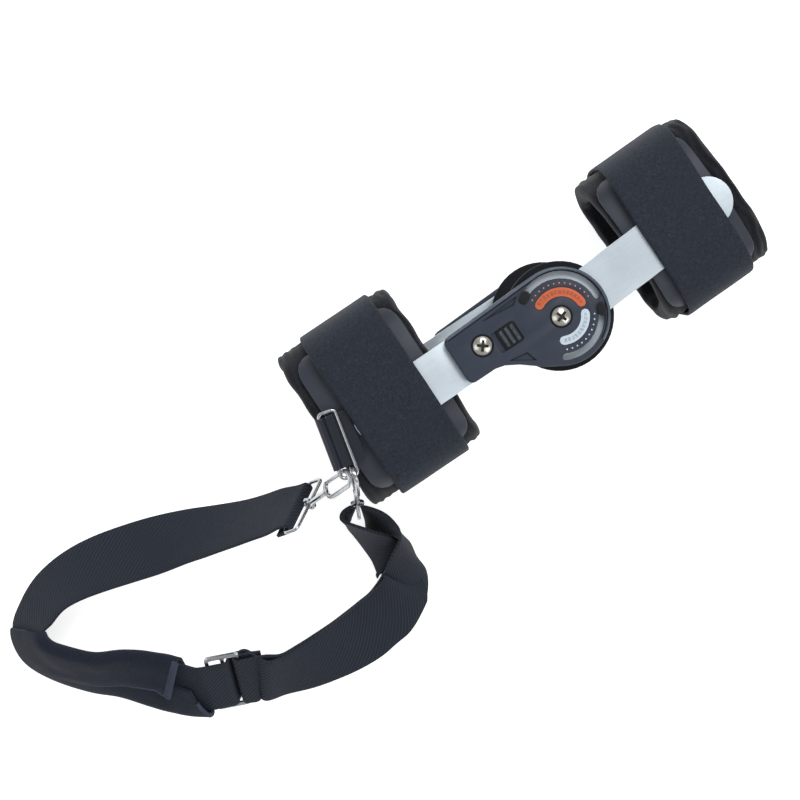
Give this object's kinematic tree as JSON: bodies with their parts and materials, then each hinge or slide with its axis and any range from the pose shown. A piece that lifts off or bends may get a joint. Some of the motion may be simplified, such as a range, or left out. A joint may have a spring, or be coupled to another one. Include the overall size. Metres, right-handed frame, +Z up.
{
  "type": "hinged elbow brace",
  "caption": "Hinged elbow brace with padded arm cuffs, a dial hinge with adjustable stops, and a shoulder sling strap with a sliding buckle, clipped to a ring on the forearm cuff.",
  "frame": {"origin": "on the hinge axis, on the flat outer face of the back hinge cover that the brace lies on", "axes": "+X along the arm towards the upper-arm cuff, +Y across the arm, +Z up along the hinge axis towards the dial"},
  "size_m": [0.5633, 0.212, 0.1133],
  "materials": {
    "liner_foam": "brushed black cloth over foam",
    "shell_plastic": "matte black",
    "cuff_strap": "dark grey with a fine leather-like grain",
    "bar_aluminium": "satin anodised",
    "cover_plastic": "fine-textured slate blue",
    "dark_plastic": "satin black",
    "bright_steel": "bright plated",
    "orange_label": "printed orange",
    "white_label": "printed white",
    "ring_band": "smooth dark blue, slightly shiny",
    "sling_webbing": "ribbed dark webbing",
    "pad_cloth": "brushed black cloth over foam"
  },
  "bodies": {
    "forearm": {"forearm_liner": "liner_foam", "forearm_shell_front": "shell_plastic", "forearm_shell_back": "shell_plastic", "forearm_strap": "cuff_strap", "forearm_bar_front": "bar_aluminium", "forearm_bar_back": "bar_aluminium", "hinge_cover_front": "cover_plastic", "hinge_cover_back": "cover_plastic", "hinge_base_front": "dark_plastic", "hinge_base_back": "dark_plastic", "pivot_screw": "bright_steel", "lever_screw": "bright_steel", "pivot_pin_back": "bright_steel", "lever_pin_back": "bright_steel", "flexion_label": "orange_label", "extension_label": "white_label", "sling_ring": "bright_steel", "ring_band": "ring_band", "hook_body_1": "bright_steel", "hook_body_2": "bright_steel", "web_loop_1": "bright_steel", "web_loop_2": "bright_steel", "sling_buckle": "bright_steel", "sling_webbing": "sling_webbing", "shoulder_pad": "pad_cloth"},
    "upper_arm": {"upper_liner": "liner_foam", "upper_shell_front": "shell_plastic", "upper_shell_back": "shell_plastic", "upper_strap": "cuff_strap", "upper_bar_front": "bar_aluminium", "upper_bar_back": "bar_aluminium"},
    "flexion_button": {"flexion_stop": "dark_plastic"},
    "extension_button": {"extension_stop": "dark_plastic"},
    "lock": {"lock_slider": "dark_plastic"},
    "gate_1": {"hook_gate_1": "bright_steel"},
    "gate_2": {"hook_gate_2": "bright_steel"}
  },
  "joints": [
    {"name": "elbow_hinge", "type": "hinge", "parent": "forearm", "child": "upper_arm", "pos_m": [0, 0, 0], "axis": [0, 0, -1], "range_deg": [0, 120]},
    {"name": "flexion_stop_turn", "type": "hinge", "parent": "forearm", "child": "flexion_button", "pos_m": [0, 0, 0], "axis": [0, 0, -1], "range_deg": [0, 120]},
    {"name": "extension_stop_turn", "type": "hinge", "parent": "forearm", "child": "extension_button", "pos_m": [0, 0, 0], "axis": [0, 0, -1], "range_deg": [0, 90]},
    {"name": "lock_slide", "type": "slide", "parent": "forearm", "child": "lock", "axis": [-1, 0, 0], "range_m": [0, 0.0035]},
    {"name": "hook_gate_1_turn", "type": "hinge", "parent": "forearm", "child": "gate_1", "pos_m": [-0.17947, -0.00693, 0.08807], "axis": [0.773, -0.3307, -0.5413], "range_deg": [0, 18], "stiffness_Nm_per_rad": 0.03, "springref_deg": -11.46},
    {"name": "hook_gate_2_turn", "type": "hinge", "parent": "forearm", "child": "gate_2", "pos_m": [-0.16556, -0.01556, 0.08507], "axis": [0.9584, -0.2691, -0.0949], "range_deg": [0, 18], "stiffness_Nm_per_rad": 0.03, "springref_deg": -11.46}
  ]
}
